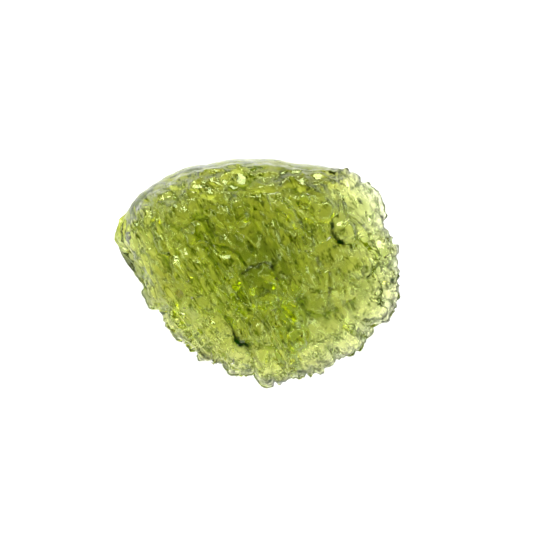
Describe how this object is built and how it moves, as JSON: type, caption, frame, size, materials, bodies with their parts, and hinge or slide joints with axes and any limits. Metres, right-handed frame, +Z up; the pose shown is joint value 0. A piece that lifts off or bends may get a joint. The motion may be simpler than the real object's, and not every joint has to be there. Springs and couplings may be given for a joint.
{
  "type": "moldavite",
  "caption": "Rough natural piece of clear green impact glass with a grooved, pitted surface, a thick round shoulder, thin ragged edges and a small flat spot to rest on.",
  "frame": {"origin": "on the surface that the stone rests on, under the middle of its outline from above", "axes": "+X along the stone's length, away from its narrow end; +Y towards its thick round shoulder; +Z up, through its thickness"},
  "size_m": [0.0288, 0.0232, 0.009],
  "materials": {
    "green_glass": "gloss"
  },
  "bodies": {
    "root": {"moldavite": "green_glass"}
  },
  "joints": []
}
